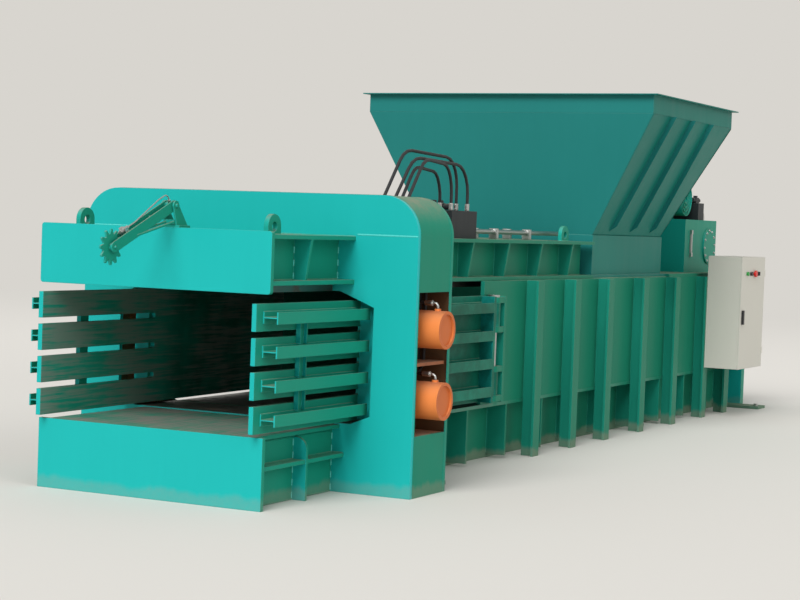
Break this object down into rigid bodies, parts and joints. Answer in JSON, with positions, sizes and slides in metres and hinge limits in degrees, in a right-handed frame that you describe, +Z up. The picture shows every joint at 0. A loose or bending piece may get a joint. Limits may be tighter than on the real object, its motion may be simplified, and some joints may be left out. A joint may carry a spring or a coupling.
{
  "type": "recycling baler",
  "caption": "Horizontal baler with a squeeze portal, slotted exit gates, feed hopper, hydraulic ram, power unit and control cabinet.",
  "frame": {"origin": "on the ground under the middle of the machine's box", "axes": "+Z up, +Y towards the ram and the main cylinder, bales leave towards -Y, +X the side that carries the control cabinet"},
  "size_m": [2.586, 9.7524, 2.7],
  "materials": {
    "green_paint": "satin enamel, slightly worn",
    "side_paint": "satin enamel, slightly worn",
    "primer": "matt red-brown primer",
    "orange_paint": "satin enamel",
    "bright_steel": "polished",
    "wear_steel": "worn plate",
    "black_rubber": "hose cover",
    "dark_paint": "satin",
    "cabinet_paint": "fine texture",
    "green_plastic": "gloss",
    "red_plastic": "gloss",
    "black_plastic": "matt"
  },
  "bodies": {
    "frame": {"portal_front_plate": "green_paint", "portal_rear_plate": "green_paint", "portal_arch_band": "side_paint", "portal_foot_bands": "side_paint", "portal_shelves": "primer", "portal_cheeks": "primer", "channel_liners": "wear_steel", "squeeze_barrels": "orange_paint", "exit_header_plate": "green_paint", "exit_top_beam": "side_paint", "lifting_lugs": "side_paint", "exit_sill_plate": "green_paint", "exit_base": "side_paint", "channel_floor": "wear_steel", "base_beams": "side_paint", "anchor_feet": "side_paint", "channel_top_beam": "side_paint", "side_walls": "side_paint", "side_posts": "side_paint", "hinge_posts": "side_paint", "gate_pins": "bright_steel", "hopper_collar": "side_paint", "hopper_side_panels": "side_paint", "hopper_end_panels": "side_paint", "hopper_rim": "side_paint", "fixed_shear_blade": "wear_steel", "housing_roof": "side_paint", "rear_crosshead": "green_paint", "main_barrel": "orange_paint", "oil_tank": "green_paint", "tank_fittings": "bright_steel", "pump_motor": "green_paint", "hydraulic_pump": "dark_paint", "valve_block": "wear_steel", "cabinet_body": "cabinet_paint", "counter_bracket": "side_paint", "hydraulic_pipes": "bright_steel", "hydraulic_hoses": "black_rubber"},
    "gate_right": {"gate_plate_right": "green_paint", "gate_rails_right": "side_paint", "gate_bracing_right": "side_paint"},
    "gate_left": {"gate_plate_left": "green_paint", "gate_rails_left": "side_paint", "gate_bracing_left": "side_paint"},
    "rods_right": {"squeeze_rods_right": "bright_steel"},
    "rods_left": {"squeeze_rods_left": "bright_steel"},
    "ram": {"ram_rod": "bright_steel", "ram_body": "side_paint", "ram_platen": "green_paint", "ram_blade": "wear_steel", "ram_shoes": "wear_steel"},
    "door": {"cabinet_door": "cabinet_paint"},
    "handle": {"door_handle": "black_plastic"},
    "start": {"start_button": "green_plastic"},
    "stop": {"stop_button": "black_plastic"},
    "emergency": {"emergency_button": "red_plastic"},
    "selector": {"mode_switch": "black_plastic"},
    "counter_arm": {"counter_arm": "side_paint", "counter_sensor": "bright_steel"},
    "star": {"star_wheel": "side_paint"}
  },
  "joints": [
    {"name": "gate_right_hinge", "type": "hinge", "parent": "frame", "child": "gate_right", "pos_m": [0.855, -1.32333, 0], "axis": [0, 0, -1], "range_deg": [-1.15, 2.5]},
    {"name": "gate_left_hinge", "type": "hinge", "parent": "frame", "child": "gate_left", "pos_m": [-0.855, -1.32333, 0], "axis": [0, 0, 1], "range_deg": [-1.15, 2.5]},
    {"name": "squeeze_right_stroke", "type": "slide", "parent": "frame", "child": "rods_right", "axis": [-1, 0, 0], "range_m": [-0.034, 0.073]},
    {"name": "squeeze_left_stroke", "type": "slide", "parent": "frame", "child": "rods_left", "axis": [1, 0, 0], "range_m": [-0.034, 0.073]},
    {"name": "ram_stroke", "type": "slide", "parent": "frame", "child": "ram", "axis": [0, -1, 0], "range_m": [0, 1.75]},
    {"name": "cabinet_door_hinge", "type": "hinge", "parent": "frame", "child": "door", "pos_m": [1.2275, 3.88667, 0], "axis": [0, 0, 1], "range_deg": [0, 120]},
    {"name": "door_handle_turn", "type": "hinge", "parent": "door", "child": "handle", "pos_m": [1.2275, 3.23667, 0.95], "axis": [1, 0, 0], "range_deg": [0, 90]},
    {"name": "start_press", "type": "slide", "parent": "door", "child": "start", "axis": [-1, 0, 0], "range_m": [0, 0.006], "stiffness_N_per_m": 500},
    {"name": "stop_press", "type": "slide", "parent": "door", "child": "stop", "axis": [-1, 0, 0], "range_m": [0, 0.006], "stiffness_N_per_m": 500},
    {"name": "emergency_press", "type": "slide", "parent": "door", "child": "emergency", "axis": [-1, 0, 0], "range_m": [0, 0.006]},
    {"name": "mode_switch_turn", "type": "hinge", "parent": "door", "child": "selector", "pos_m": [1.2275, 3.66667, 1.3], "axis": [1, 0, 0], "range_deg": [-45, 45]},
    {"name": "counter_arm_hinge", "type": "hinge", "parent": "frame", "child": "counter_arm", "pos_m": [0.115, -4.21333, 1.69], "axis": [-1, 0, 0], "range_deg": [0, 45]},
    {"name": "star_wheel_spin", "type": "hinge", "parent": "counter_arm", "child": "star", "pos_m": [0.115, -4.77667, 1.45087], "axis": [1, 0, 0], "continuous": true}
  ],
  "couplings": [
    {"joint": "squeeze_right_stroke", "follows": "gate_right_hinge", "m_per_rad": 1.64},
    {"joint": "squeeze_left_stroke", "follows": "gate_left_hinge", "m_per_rad": 1.64}
  ]
}
